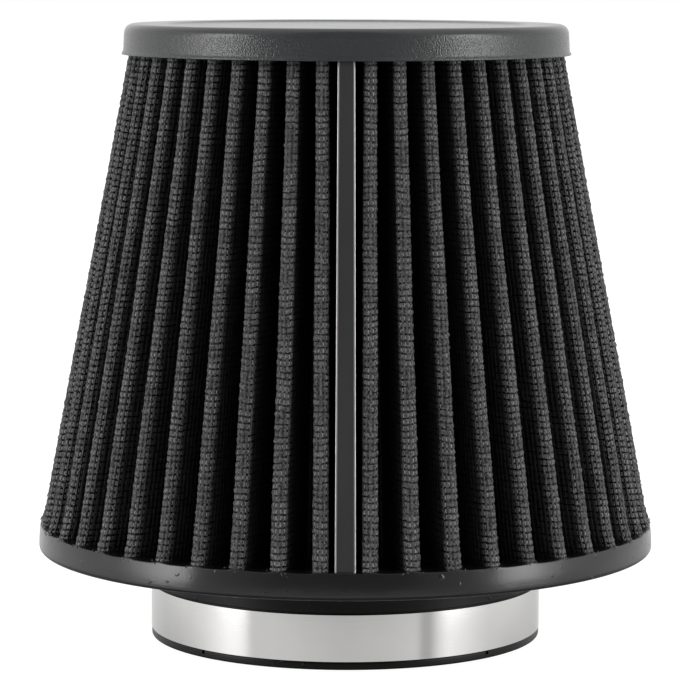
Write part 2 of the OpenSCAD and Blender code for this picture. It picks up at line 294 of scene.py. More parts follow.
# In the looks below, sizes and heights are in metres, colours run from the darkest to the
# lightest, and rough is the roughness, or the least of it and how much a noise adds.
capLook = {
    "colours": (grey(0.024, -0.04), grey(0.048, -0.04)),
    "pebble": 0.00045,
    "cloud": 0.012,
    "rough": (0.11, 0.1),
    "depth": 0.00013,
    "rim": (0.1697, 0.0008),  # where the pebbling fades
    "onTop": 0.1,  # what is left of it on top
}


def urethanePebbled():  # the cap: pebbled side, plainer top
    look = capLook
    paint = newPaint("urethanePebbled")
    spot = paint.place()
    pebble = paint.noise(spot, look["pebble"], 1.0, 0.7)
    cloud = paint.noise(spot, look["cloud"], 3.0)
    side = 1 - paint.part(spot, "Z").above(*look["rim"])
    colour = paint.blend(pebble, *look["colours"])
    height = pebble * (look["onTop"] + (1 - look["onTop"]) * side)
    return principled(paint, colour, roughAt(look, cloud), paint.bump(height, look["depth"]))


rubberLook = {
    "colours": (grey(0.005), grey(0.009)),
    "cloud": 0.02,
    "fine": 0.0008,
    "fineShare": 0.12,  # of the bump, against 1 for a pimple
    "pimple": 0.0022,
    "pimples": (0.80, 0.05),  # only the noise's peaks
    "rough": (0.15, 0.08),
    "depth": 0.00012,
    "neck": (0.0246, 0.0008),  # below this height the neck gets painted shade for the ring's shadow
    "neckRough": 0.2,
    # painted shade: share of metal that turns the neck's near-black colour into its reflection
    "neckPaintedShade": 0.75,
}


def rubberSatin():  # base ring and neck, with a few pimples and painted shade on the neck
    look = rubberLook
    paint = newPaint("rubberSatin")
    spot = paint.place()
    cloud = paint.noise(spot, look["cloud"], 3.0)
    fine = paint.noise(spot, look["fine"], 2.0)
    pimple = paint.noise(spot, look["pimple"], 0.0).above(*look["pimples"])
    shade = 1 - paint.part(spot, "Z").above(*look["neck"])
    colour = paint.blend(cloud, *look["colours"])
    rough = roughAt(look, cloud) + shade * look["neckRough"]
    normal = paint.bump(fine * look["fineShare"] + pimple, look["depth"])
    # painted shade: under the ring the neck is rougher and, through the metal share, darker
    return principled(paint, colour, rough, normal, Metallic=shade * look["neckPaintedShade"])


mediaLook = {"colours": (grey(0.012), grey(0.03)), "fibre": 0.0008, "rough": 0.9, "depth": 0.0003}


def mediaCloth():
    look = mediaLook
    paint = newPaint("mediaCloth")
    fibre = paint.noise(paint.place(), look["fibre"], 2.0)
    colour = paint.blend(fibre, *look["colours"])
    return principled(paint, colour, look["rough"], paint.bump(fibre, look["depth"]))


screenLook = {  # pairs are an edge and the width over which it is crossed
    "grain": 0.0006,
    "patch": 0.005,
    "stray": 0.0022,
    "strayStretch": (1, 1, 0.4),
    "strayAcross": 0.4,  # pitches that the wires stray
    "strayAlong": 0.3,
    "holeAcross": (0.6, 0.16),
    "holeAlong": (0.66, 0.12),
    "rowShadow": (0.84, 0.1),  # painted shadow: the dark dash between two rows, next to the crossing wire, on some wires only
    "rowShadowChance": (0.66, 0.2),
    "rowShadowLeast": 0.1,
    "groove": (0.5, 0.16),
    "grooveShare": 0.5,
    "flank": (2.4, 0.6),  # wires from the crest's middle to the flanks, which are darker: partly wear and dust on the crest, partly painted shade
    # the crest's shoulders, where more threads carry painted highlight lines
    "edge": (1.2, 0.3),
    "thread": (0.74, 0.14),  # bright threads between two wires, in patches: painted highlights of shiny wires
    "threadPatch": (0.49, 0.08),
    "threadShare": 0.7,
    "threadLoss": 0.55,  # on the flanks
    "threadEdge": 0.5,
    "worn": (1.2, 0.6),  # the crest's middle is worn smooth and gets less of the painted shade
    "wornShare": 0.7,
    "contrast": 4.0,  # of the grain, between the low and the high colour
    "middle": 0.36,
    "wireChance": 0.3,  # how far one wire differs from the next
    "low": grey(0.012),
    "high": grey(0.127),
    # lightest colour on the flanks: darker than the crest's, partly wear and dust on the crest,
    # partly painted shade
    "flankShadedHigh": grey(0.032),
    # painted shade in the holes, dashes and grooves, darker than the black media behind
    "dark": grey(0.003),
    # painted highlight colour of the threads
    "bright": grey(0.26),
    "deep": (6.0, 3.0),  # wires from the crest's middle, down in the groove, where painted shade begins
    "deepPaintedShade": grey(0.008),
    "rough": 0.42,
    "threadRough": 0.2,
    "darkRough": 0.3,
    "threadHeight": 0.3,
    "depth": 0.00025,
}


# The weave in the screen's own map: u counts wires from the crest's middle, v counts rows. Gaps
# in both make a hole, painted near black as shade over the black media; bright threads, painted
# highlights, lie in some of the grooves.
def wireScreen():
    look = screenLook
    paint = newPaint("wireScreen")
    weaveMap = paint.add("UVMap", {"uv_map": "weave"})
    u, v = paint.part(weaveMap, "X"), paint.part(weaveMap, "Y")
    spot = paint.place()
    grain = paint.noise(spot, look["grain"], 3.0, 0.7)
    patch = paint.noise(spot, look["patch"], 2.0)
    stray = paint.noise(paint.place(look["strayStretch"]), look["stray"], 1.0) - 0.5
    cell = paint.add("CombineXYZ", values={0: u.maths("ROUND", u), 1: v.maths("FLOOR", v)})
    chance = paint.add("TexWhiteNoise", {"noise_dimensions": "2D"}, {"Vector": cell})
    across = (u + stray * look["strayAcross"]).gap()
    along = (v + stray * look["strayAlong"]).gap()
    hole = across.above(*look["holeAcross"]) * along.above(*look["holeAlong"])
    rowShadow = along.above(*look["rowShadow"])
    rowShadow = rowShadow * (chance.above(*look["rowShadowChance"]) + look["rowShadowLeast"])
    groove = across.above(*look["groove"]) * look["grooveShare"]
    flank = abs(u).above(*look["flank"])
    edge = abs(u).above(*look["edge"]) * (1 - flank)
    patchy = patch.above(*look["threadPatch"]) * (look["threadShare"] - flank * look["threadLoss"])
    thread = across.above(*look["thread"]) * (patchy + edge * look["threadEdge"]) * (1 - hole)
    thread = thread.least(1.0)
    # painted shade: holes, the rows' dashes and the grooves go near black, partly the black media
    # and wires, partly shade
    dark = hole.most(rowShadow).most(groove) * (0.5 + grain) * (1 - thread)
    worn = look["wornShare"] + (1 - look["wornShare"]) * abs(u).above(*look["worn"])
    dark = (dark * worn).least(1.0)
    shade = (grain - 0.5) * look["contrast"] + look["middle"] + (chance - 0.5) * look["wireChance"]
    # partly painted shade: the flanks get a darker colour than the crest
    high = paint.blend(flank, look["high"], look["flankShadedHigh"])
    colour = paint.blend(shade.clamped(), look["low"], high)
    colour = paint.blend(dark, colour, look["dark"])
    # painted highlights: bright threads, which also get lower roughness and a bump
    colour = paint.blend(thread, colour, look["bright"])
    # painted shade deep in the groove between two crests
    colour = paint.blend(abs(u).above(*look["deep"]), colour, look["deepPaintedShade"])
    rough = look["rough"] - look["threadRough"] * thread + look["darkRough"] * dark
    normal = paint.bump(grain - dark + thread * look["threadHeight"], look["depth"])
    # the metal share keeps the painted shade dark, with no shine
    return principled(paint, colour, rough, normal, Metallic=dark)


channelLook = {
    "colours": (grey(0.55), grey(0.75)),
    "streak": 0.0004,
    "stretch": (1, 1, 0.05),
    "rough": (0.25, 0.15),
}


def brightSheet():  # the seam's channel, rolled along its length
    look = channelLook
    paint = newPaint("brightSheet")
    streak = paint.noise(paint.place(look["stretch"]), look["streak"], 2.0)
    colour = paint.blend(streak, *look["colours"])
    return principled(paint, colour, roughAt(look, streak), Metallic=1.0)


wireEndLook = {"colours": (grey(0.015), grey(0.2)), "wear": 0.0005, "rough": 0.3, "metal": 0.6}


def bareWire():  # the cut ends of the screen
    look = wireEndLook
    paint = newPaint("bareWire")
    wear = paint.noise(paint.place(), look["wear"], 2.0)
    colour = paint.blend(wear, *look["colours"])
    return principled(paint, colour, look["rough"], Metallic=look["metal"])


filmLook = {
    "colours": (grey(0.024), grey(0.036)),
    "cloud": 0.012,
    "stretch": (1, 1, 0.3),
    "rough": (0.24, 0.1),
}


def stripFilm():
    look = filmLook
    paint = newPaint("stripFilm")
    cloud = paint.noise(paint.place(look["stretch"]), look["cloud"], 2.0)
    colour = paint.blend(cloud, *look["colours"])
    return principled(paint, colour, roughAt(look, cloud))


steelLook = {
    "colours": (grey(0.59, 0.01), grey(0.65, 0.01)),
    "cloud": 0.01,
    "streak": 0.0003,
    "stretch": (0.04, 0.04, 1),
    "streakShare": 0.05,  # of the bump, against 1 for the rounding
    "rough": (0.08, 0.08),
    "middle": 0.00865,  # height of the strip's middle and half its width
    "half": 0.00635,
    "depth": 0.00006,  # how much lower its edges lie
}


def clampSteel():  # polished along the strip, which is a little rounded from edge to edge
    look = steelLook
    paint = newPaint("clampSteel")
    streak = paint.noise(paint.place(look["stretch"]), look["streak"], 3.0)
    spot = paint.place()
    cloud = paint.noise(spot, look["cloud"], 2.0)
    t = (paint.part(spot, "Z") - look["middle"]) / look["half"]
    colour = paint.blend(cloud, *look["colours"])
    normal = paint.bump(streak * look["streakShare"] - t * t, look["depth"])
    return principled(paint, colour, roughAt(look, streak), normal, Metallic=1.0)


screwLook = {"colours": (grey(0.5), grey(0.6)), "cloud": 0.003, "rough": (0.25, 0.15)}


def screwSteel():
    look = screwLook
    paint = newPaint("screwSteel")
    cloud = paint.noise(paint.place(), look["cloud"], 3.0)
    colour = paint.blend(cloud, *look["colours"])
    return principled(paint, colour, roughAt(look, cloud), Metallic=1.0)


finishes = {
    "top_cap": urethanePebbled(),
    "base_flange": rubberSatin(),
    "filter_media": mediaCloth(),
    "seam_clip": brightSheet(),
    "seam_label": stripFilm(),
    "clamp_band": clampSteel(),
    "clamp_screw": screwSteel(),
    "frayed_wires": bareWire(),
}
finishes["inner_screen"] = finishes["outer_screen"] = wireScreen()
finishes["clamp_saddle"] = finishes["clamp_housing"] = finishes["clamp_band"]
print("finishes made")


doubles = {"fine": 1e-7, "coarse": 1e-6, "solid": 2e-6}  # metres between points that are one


def newPiece(name, mesh, finish, body, slot, *replaced):
    piece = bpy.data.objects.new(name, mesh)
    bpy.context.scene.collection.objects.link(piece)
    mesh.materials.clear()
    mesh.materials.append(finish)
    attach(piece, body)
    if replaced:
        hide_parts(*replaced)
    return piece


# A grid of points (rows, columns, xyz) becomes quads that face the columns' way crossed with the
# rows' way; uv, if given, has a pair for each point.
def gridMesh(name, points, uv=None, around=False):
    rows, columns = points.shape[:2]
    index = np.arange(rows * columns).reshape(rows, columns)
    if around:
        index = np.concatenate([index, index[:, :1]], axis=1)
    faces = np.stack([index[:-1, :-1], index[:-1, 1:], index[1:, 1:], index[1:, :-1]], axis=-1)
    faces = faces.reshape(-1, 4)
    mesh = bpy.data.meshes.new(name)
    mesh.vertices.add(rows * columns)
    mesh.vertices.foreach_set("co", points.astype(np.float32).ravel())
    mesh.loops.add(faces.size)
    mesh.loops.foreach_set("vertex_index", faces.ravel().astype(np.int32))
    mesh.polygons.add(len(faces))
    mesh.polygons.foreach_set("loop_start", np.arange(0, faces.size, 4, dtype=np.int32))
    mesh.polygons.foreach_set("use_smooth", np.ones(len(faces), bool))
    mesh.update(calc_edges=True)
    if uv is not None:
        layer = mesh.uv_layers.new(name="weave")
        layer.data.foreach_set("uv", uv.reshape(-1, 2)[faces.ravel()].astype(np.float32).ravel())
    mesh.validate()
    return mesh


def joinMeshes(name, meshes):  # one mesh of several, with their UVs
    joined = bmesh.new()
    for part in meshes:
        joined.from_mesh(part)
    mesh = bpy.data.meshes.new(name)
    joined.to_mesh(mesh)
    joined.free()
    return mesh


def weld(mesh, distance, rim=False):  # merges doubles; an open sheet's rim may stay sharp
    welded = bmesh.new()
    welded.from_mesh(mesh)
    bmesh.ops.remove_doubles(welded, verts=welded.verts, dist=distance)
    if rim:
        for edge in welded.edges:
            edge.smooth = not edge.is_boundary
    welded.to_mesh(mesh)
    welded.free()


def sharpen(mesh, angle):  # smooth but for edges sharper than this many degrees
    mesh.shade_smooth()
    mesh.set_sharp_from_angle(angle=math.radians(angle))


def closeEnds(mesh):  # both open ends of a tube get a face
    tube = bmesh.new()
    tube.from_mesh(mesh)
    bmesh.ops.holes_fill(tube, edges=[edge for edge in tube.edges if edge.is_boundary])
    bmesh.ops.recalc_face_normals(tube, faces=tube.faces)
    tube.to_mesh(mesh)
    tube.free()


copied = {  # degrees
    "sharp": 30,
    "flat": 1,  # faces that meet at less than this are one before an edge is rounded
    "bevelFrom": 40,
    "bevelSegments": 3,
}


# A CAD node's copy with its doubles merged. Its edges may be rounded by a few tenths of a
# millimetre, or only what lies beyond an x, in mm, may be kept, and closed.
def smoothCopy(node, name, body="filter", rounding=0.0, keepFrom=None):
    mesh = nodes[node].data.copy()
    mesh.name = name
    for layer in ("custom_normal", "sharp_face", "sharp_edge"):
        if layer in mesh.attributes:
            mesh.attributes.remove(mesh.attributes[layer])
    merged = bmesh.new()
    merged.from_mesh(mesh)
    bmesh.ops.remove_doubles(merged, verts=merged.verts, dist=doubles["solid"])
    if keepFrom is not None:
        parts = merged.verts[:] + merged.edges[:] + merged.faces[:]
        place, way = (keepFrom * mm, 0, 0), (1, 0, 0)
        bmesh.ops.bisect_plane(merged, geom=parts, plane_co=place, plane_no=way, clear_inner=True)
        bmesh.ops.holes_fill(merged, edges=[edge for edge in merged.edges if edge.is_boundary])
    if rounding:
        flat = math.radians(copied["flat"])
        bmesh.ops.dissolve_limit(merged, angle_limit=flat, verts=merged.verts, edges=merged.edges)
    merged.to_mesh(mesh)
    merged.free()
    sharpen(mesh, copied["sharp"])
    piece = newPiece(name, mesh, finishes[node], body, slots[node], node)
    if rounding:
        bevel = piece.modifiers.new("roundedEdges", "BEVEL")
        bevel.width = rounding * mm
        bevel.segments = copied["bevelSegments"]
        bevel.limit_method = "ANGLE"
        bevel.angle_limit = math.radians(copied["bevelFrom"])
    return piece


pack = {  # the folded pack, in mm, as the part's source has it
    "crests": 48,  # the one that the seam closes included
    "room": 6.3,  # from the seam to the crests beside it
    "depth": 20.0,
    "thickness": 1.5,  # screen, media and screen together
    "screen": 0.3,  # one screen
    "valleyRadius": 0.4,
    "seamAngle": -90.0,  # degrees; crest 0 lies here, under the channel
    "ringTop": 32.0,
    "capLip": 163.3,
    "crestBase": 84.8,  # radius of the crests at the ring
    "crestCap": 60.8,  # and at the cap
    "lowZ": 28.0,
    "highZ": 168.3,
    "foldLow": 0.75,  # inner radius of a crest's fold at the two ends
    "foldHigh": 0.25,
}


def smooth(value, low, high):  # 0 below low, 1 above high
    t = np.clip((value - low) / (high - low), 0, 1)
    return t * t * (3 - 2 * t)


def crestRadius(z):  # how far out the crests reach
    share = (z - pack["ringTop"]) / (pack["capLip"] - pack["ringTop"])
    return pack["crestBase"] + (pack["crestCap"] - pack["crestBase"]) * share


def foldAt(z):  # outer radius of a crest's fold
    share = (z - pack["lowZ"]) / (pack["highZ"] - pack["lowZ"])
    return pack["thickness"] + pack["foldLow"] + (pack["foldHigh"] - pack["foldLow"]) * share


# Angle from the seam to crest k: the crests beside the seam keep a set distance from it, and
# the others share the rest of the turn.
def crestTurn(k, z):
    beside = pack["room"] / (crestRadius(z) - foldAt(z))
    inner = beside + (2 * math.pi - 2 * beside) * (k - 1) / (pack["crests"] - 2)
    return np.where(k <= 0, 0.0, np.where(k >= pack["crests"], 2 * math.pi, inner))


# The pack's outline in a crest's own frame: x runs out along the crest, y across it. From the
# middle of the crest a point at arc length s lies on the fold's arc, then on the straight wall,
# then on the valley's arc; all three are tangent. Height z only moves the arcs' centres. z and s
# are grids, and s < 0 lies on the side of crest k - 1.
def outlineAt(z, s, k):
    valleyR = pack["valleyRadius"]
    fold = foldAt(z)
    crest = crestRadius(z) - fold
    after = (crestTurn(k + 1, z) - crestTurn(k, z)) / 2
    before = (crestTurn(k, z) - crestTurn(k - 1, z)) / 2 if k > 0 else after
    half = np.where(s < 0, before, after)
    valley = crestRadius(z) - pack["depth"] + pack["thickness"] + valleyR
    vx, vy = valley * np.cos(half), valley * np.sin(half)
    reach = np.hypot(vx - crest, vy)
    lean = np.arctan2(vy, vx - crest) - np.arccos((fold + valleyR) / reach)
    straight = np.sqrt(reach ** 2 - (fold + valleyR) ** 2)
    arc, bend = fold * lean, valleyR * (lean - half)
    return {"fold": fold, "crest": crest, "valley": (vx, vy), "lean": lean, "arc": arc,
            "straight": straight, "bend": bend}


def wallLength(z, s, k):  # from the middle of the crest to the middle of the valley
    line = outlineAt(z, s, k)
    return line["arc"] + line["straight"] + line["bend"]


def wallPoints(z, s, inward, k):  # inward is the depth under the outline, in mm
    line = outlineAt(z, s, k)
    fold, lean, arc, straight = (line[name] for name in ("fold", "lean", "arc", "straight"))
    valleyR, length = pack["valleyRadius"], np.abs(s)
    onArc = np.minimum(length / fold, lean)
    run = np.clip(length - arc, 0, straight)
    x = line["crest"] + (fold - inward) * np.cos(onArc) - run * np.sin(lean)
    y = (fold - inward) * np.sin(onArc) + run * np.cos(lean)
    turned = np.clip(length - arc - straight, 0, line["bend"]) / valleyR
    facing = lean + math.pi - turned
    onValley = length > arc + straight
    x = np.where(onValley, line["valley"][0] + (valleyR + inward) * np.cos(facing), x)
    y = np.where(onValley, line["valley"][1] + (valleyR + inward) * np.sin(facing), y)
    return x, np.where(s < 0, -y, y)


def toFrame(x, y, z, k):  # from crest k's own frame, in mm, to the part's, in metres
    turn = math.radians(pack["seamAngle"]) + crestTurn(k, z)
    c, s = np.cos(turn), np.sin(turn)
    return np.stack([x * c - y * s, x * s + y * c, z], axis=-1) * mm


weave = {  # mm, but for what is said to be in pitches
    "seed": 7,
    "wirePitch": 1.4,  # between the upright wires
    "rowPitch": 1.65,  # between the crossing wires
    "crestWires": 5,
    "wireParts": (-0.36, 0.0, 0.36),  # pitches at which a wire and a row have their points
    "rowParts": (0.0, 0.36, 0.64),
    "stripEdge": 0.3,  # pitches beyond the last wire at which the strip ends
    "wireSide": (0.2, 0.7),  # where a hole begins and where it is deep: 0 on a wire, 1 between
    "rowSide": (0.2, 0.75),
    "hole": 0.44,  # depth of the holes
    "rowDip": 0.1,  # dip between two rows, on a wire
    "grooveDip": 0.16,  # and between two wires, on a row
    "crossing": 0.08,  # rise where the upright wire lies on top
    "vary": (0.6, 1.4),  # times these depths
    "rough": 0.05,  # unevenness
    "edgeDepth": 0.3,  # of a strip's edges
    "proud": 0.7,  # how far the screen stands proud of its solid at the ring
    "proudFade": (40, 150),  # heights
    "flare": 0.5,  # more of it at the ring, where the cut edge spreads
    "flareFade": (31.5, 38),
    "inRing": 1.2,  # how far the screen reaches into the ring and the cap
    "inCap": 1.4,
    "freeFrom": (32, 44),  # heights between which it may stray
    "freeTo": (151, 163),
    "waver": 0.05,  # how far a crest strays sideways
    "waverWaves": (9, 23),
    "rowWaver": 0.3,  # and a row up and down, so many wires from the middle
    "rowWaverAt": 3,
    "rowWaves": (6, 15),
    "rowTwist": 0.7,  # how far this changes from wire to wire
    "ragged": (0.3, 1.6),  # height of the cut edge
    "raggedDepth": 0.9,
    "back": 1.8,  # depth of a strip's back
    "backColumns": 5,
    "wallDepth": 0.15,  # how far a wall's upper edge lies under the strip
    "wallColumns": 9,
    "wallRows": 24,
    "foldRows": 12,
    "foldColumns": (31, 41),  # of the fold under the channel and of the inner folds
    "mapStep": 97,  # rows from one crest's part of the pattern to the next one's
    "sharp": 75,  # degrees, where a strip's face meets its back
    "pieces": 4,  # that the crests are shared among
}


def swell(z):  # how far the screen stands proud of its solid, growing towards the ring
    proud = weave["proud"] * (1 - smooth(z, *weave["proudFade"]))
    return proud + weave["flare"] * (1 - smooth(z, *weave["flareFade"]))


# Depth of the weave at u and v, in pitches: holes lie halfway between two wires and two rows,
# each row dips on the wires between, and every other crossing has its wire on top.
def woven(u, v, rng):
    gapU = 2 * np.abs((u + 0.5) % 1 - 0.5)
    gapV = 2 * np.abs((v + 0.5) % 1 - 0.5)
    across, along = smooth(gapU, *weave["wireSide"]), smooth(gapV, *weave["rowSide"])
    top = np.where((np.round(u) + np.round(v)) % 2 > 0, 1, -1) * (1 - across) * (1 - along)
    depth = weave["hole"] * across * along + weave["rowDip"] * along * (1 - across)
    depth = depth + weave["grooveDip"] * across * (1 - along) - weave["crossing"] * top
    vary = rng.uniform(*weave["vary"], depth.shape)
    return depth * vary + rng.normal(0, weave["rough"], depth.shape)


# One crest's strip of woven wire, closed behind. It strays sideways and its rows wave, by two
# sines each, between the heights at which the potting holds it; its foot is cut unevenly.
def crestStrip(k, low, z, u, v, rng):
    phase = rng.uniform(0, 6.28, 5)  # of the four sines, with one to spare
    free = smooth(z, *weave["freeFrom"]) * (1 - smooth(z, *weave["freeTo"]))
    long, longer = weave["waverWaves"]
    drift = weave["waver"] * (np.sin(z / long + phase[0]) + np.sin(z / longer + phase[1])) * free
    zz, uu = np.meshgrid(z, u, indexing="ij")
    vv = np.broadcast_to(v[:, None], zz.shape)
    depth = woven(uu, vv, rng)
    edge = np.abs(uu) > weave["crestWires"] // 2 + weave["stripEdge"]
    depth = np.where(edge, weave["edgeDepth"], depth)
    long, longer = weave["rowWaves"]
    lean = np.sin(zz / long + phase[2])
    lean = lean + np.sin(zz / longer + uu * weave["rowTwist"] + phase[3])
    zs = zz + weave["rowWaver"] * lean * free[:, None] * uu / weave["rowWaverAt"]
    ragged = low + rng.uniform(*weave["ragged"], u.size)
    depth = depth + np.where(zz < ragged, weave["raggedDepth"], 0.0)
    x, y = wallPoints(zs, uu * weave["wirePitch"], depth, k)
    front = toFrame(x + swell(zs), y + drift[:, None], zs, k)
    zb, ub = np.meshgrid(z, np.linspace(u[-1], u[0], weave["backColumns"]), indexing="ij")
    x, y = wallPoints(zb, ub * weave["wirePitch"], weave["back"], k)
    back = toFrame(x + swell(zb), y + drift[:, None], zb, k)
    across = np.concatenate([uu, ub], axis=1)
    rows = np.broadcast_to(v[:, None], across.shape) + weave["mapStep"] * k
    points, uv = np.concatenate([front, back], axis=1), np.stack([across, rows], -1)
    mesh = gridMesh("crest", points, uv, around=True)
    closeEnds(mesh)
    mesh.set_sharp_from_angle(angle=math.radians(weave["sharp"]))
    return mesh, drift


# The wall from under a crest's strip, which it follows sideways there, to the middle of the
# valley, on the side -1 or 1; rows are the weave's rows at the heights z.
def wallSheet(k, side, z, rows, drift):
    zz, share = np.meshgrid(z, np.linspace(0, 1, weave["wallColumns"]), indexing="ij")
    start = (weave["crestWires"] // 2 + weave["stripEdge"]) * weave["wirePitch"]
    full = wallLength(zz, side + share * 0, k)
    length = start + (full - start) * share
    x, y = wallPoints(zz, side * length, weave["wallDepth"] * (1 - share), k)
    points = toFrame(x + swell(zz) * (1 - share), y + drift[:, None] * (1 - share), zz, k)
    rows = np.broadcast_to(rows[:, None], zz.shape) + weave["mapStep"] * k
    uv = np.stack([side * length / weave["wirePitch"], rows], -1)
    if side < 0:
        points, uv = points[:, ::-1], uv[:, ::-1]
    return gridMesh("wall", points, uv)


# One whole pleat as a grid from valley to valley, inward under the pack's face. Turned round,
# it faces the axis.
def foldSheet(k, z, inward, columns, faceIn):
    zz, share = np.meshgrid(z, np.linspace(-1, 1, columns), indexing="ij")
    s = share * wallLength(zz, share, k)
    x, y = wallPoints(zz, s, inward, k)
    points = toFrame(x, y, zz, k)
    uv = np.stack([s / weave["wirePitch"], zz / weave["rowPitch"]], -1)
    if faceIn:
        points, uv = points[:, ::-1], uv[:, ::-1]
    return gridMesh("fold", points, uv)


def sheetPiece(name, sheets, node):  # one sheet of several, which gets the screen's thickness
    mesh = joinMeshes(name, sheets)
    weld(mesh, doubles["coarse"], rim=True)
    piece = newPiece(name, mesh, finishes[node], "filter", slots[node], node)
    wall = piece.modifiers.new("thickness", "SOLIDIFY")
    wall.thickness = pack["screen"] * mm
    wall.offset = -1.0


def makeScreen():
    rng = np.random.default_rng(weave["seed"])
    low, high = pack["ringTop"] - weave["inRing"], pack["capLip"] + weave["inCap"]
    rowCount = int((high - low) / weave["rowPitch"])
    v = (np.arange(rowCount)[:, None] + np.array(weave["rowParts"])).ravel()
    z = low + v / rowCount * (high - low)
    half = weave["crestWires"] // 2
    u = (np.arange(-half, half + 1)[:, None] + np.array(weave["wireParts"])).ravel()
    wallZ = np.linspace(low, high, weave["wallRows"])
    wallRows = (wallZ - low) / (high - low) * rowCount
    crests, walls = [], []
    for k in range(1, pack["crests"]):
        crest, drift = crestStrip(k, low, z, u, v, rng)
        crests.append(crest)
        wallDrift = np.interp(wallZ, z, drift)
        for side in (-1, 1):
            walls.append(wallSheet(k, side, wallZ, wallRows, wallDrift))
    size = math.ceil(len(crests) / weave["pieces"])
    for i in range(weave["pieces"]):
        mesh = joinMeshes(f"screen_crests_{i + 1}", crests[i * size:(i + 1) * size])
        node = "outer_screen"
        newPiece(mesh.name, mesh, finishes[node], "filter", slots[node], node)
    foldZ = np.linspace(low, high, weave["foldRows"])
    walls.append(foldSheet(0, foldZ, 0.0, weave["foldColumns"][0], False))  # under the channel
    sheetPiece("screen_walls", walls, "outer_screen")
    print("screen made:", rowCount, "rows")


def makeInnerScreen():
    z = np.linspace(pack["lowZ"], pack["highZ"], weave["foldRows"])
    inward, columns = pack["thickness"], weave["foldColumns"][1]
    folds = [foldSheet(k, z, inward, columns, True) for k in range(pack["crests"])]
    sheetPiece("screen_inside", folds, "inner_screen")
    print("inner screen made:", len(folds), "folds")


# Tubes along paths (tubes, points, xyz), all of one radius: each point gets a ring about the
# path's direction, and the ring shrinks to a point at both ends, which closes the tube.
def tubeMesh(name, paths, radius, sides):
    ahead = np.gradient(paths, axis=1)
    ahead = ahead / np.linalg.norm(ahead, axis=-1, keepdims=True)
    across = np.cross(ahead, [0.31, 0.12, 0.94])  # any way that no path takes
    across = across / np.linalg.norm(across, axis=-1, keepdims=True)
    other = np.cross(ahead, across)
    angle = np.linspace(0, 2 * math.pi, sides, endpoint=False)
    ring = np.cos(angle)[:, None] * across[:, :, None] + np.sin(angle)[:, None] * other[:, :, None]
    size = np.full(paths.shape[1], radius)
    size[[0, -1]] = 0
    tubes = paths[:, :, None] + ring * size[:, None, None]
    mesh = joinMeshes(name, [gridMesh("tube", tube, around=True) for tube in tubes * mm])
    weld(mesh, doubles["fine"])
    return mesh


frayed = {  # mm and radians; pairs are the least and the most
    "seed": 11,
    "perCrest": 3,
    "radius": 0.12,
    "sides": 5,
    "points": 6,
    "length": (0.4, 1.1),
    "spread": (-0.034, 0.034),  # angle from the crest
    "fall": (0.3, 1.0),  # of the length
    "startZ": (31.9, 32.9),
    "aside": (-0.8, 0.8),  # of the length
    "radiusThere": 86,  # turns what it lies aside into an angle
    "startR": 85.7,
    "bulge": 0.6,  # how far out it goes from there
    "lie": (-0.15, 0.05),  # and further out by its end
}


# Cut wires that hang over the ring's edge at the feet of the crests: along t from 0 to 1 a wire
# goes out with the root of t, and down and aside with t.
def makeFrayedWires():
    f = frayed
    rng = np.random.default_rng(f["seed"])
    k = np.repeat(np.arange(1, pack["crests"]), f["perCrest"])
    count = k.size
    turn = math.radians(pack["seamAngle"]) + np.array([crestTurn(i, pack["ringTop"]) for i in k])
    turn = turn + rng.uniform(*f["spread"], count)
    length = rng.uniform(*f["length"], count)[:, None]
    t = np.linspace(0, 1, f["points"])
    fall = rng.uniform(*f["fall"], count)[:, None] * length * t
    z = rng.uniform(*f["startZ"], count)[:, None] - fall
    aside = rng.uniform(*f["aside"], count)[:, None] * length * t / f["radiusThere"]
    r = f["startR"] + f["bulge"] * np.sqrt(t) + rng.uniform(*f["lie"], (count, 1)) * t
    angle = turn[:, None] + aside
    paths = np.stack([r * np.cos(angle), r * np.sin(angle), z], -1)
    mesh = tubeMesh("frayed_wires", paths, f["radius"], f["sides"])
    newPiece(mesh.name, mesh, finishes["frayed_wires"], "filter", slots["outer_screen"])
    print("frayed wires made:", count)


# A path in (r, z) from its start over straight legs (r, z, steps) and arcs (centre r, centre z,
# radius, from angle, to angle, steps).
def pathPoints(start, *legs):
    points = [np.array([start])]
    for leg in legs:
        if len(leg) == 3:
            t = np.linspace(0, 1, leg[2] + 1)[1:, None]
            points.append(points[-1][-1] * (1 - t) + np.array(leg[:2]) * t)
        else:
            angle = np.radians(np.linspace(leg[3], leg[4], leg[5] + 1))
            arc = np.stack([leg[0] + leg[2] * np.cos(angle), leg[1] + leg[2] * np.sin(angle)], -1)
            points.append(arc)
    path = np.concatenate(points)
    step = np.linalg.norm(np.diff(path, axis=0), axis=1)
    return path[np.concatenate([[True], step > 1e-4])]  # no point twice


# The path's own normal, to the right of its way: outwards where it runs anticlockwise.
def pathNormals(path):
    way = np.gradient(path, axis=0)
    way = way / np.maximum(np.linalg.norm(way, axis=1, keepdims=True), 1e-9)
    return np.stack([way[:, 1], -way[:, 0]], -1)


# Random levels on a coarse grid that closes on itself sideways, blended smoothly between.
def closedNoise(rng, rows, turns, rowCells, turnCells):
    coarse = rng.uniform(-1, 1, (rowCells + 1, turnCells))
    coarse = np.concatenate([coarse, coarse[:, :1]], axis=1)
    r = np.linspace(0, rowCells - 1e-6, rows)
    c = (turns / (2 * math.pi)) % 1 * turnCells
    i, j = r.astype(int), np.minimum(c.astype(int), turnCells - 1)
    a, b = smooth(r - i, 0, 1)[:, None], smooth(c - j, 0, 1)[None, :]
    low = coarse[i][:, j] * (1 - b) + coarse[i][:, j + 1] * b
    high = coarse[i + 1][:, j] * (1 - b) + coarse[i + 1][:, j + 1] * b
    return low * (1 - a) + high * a


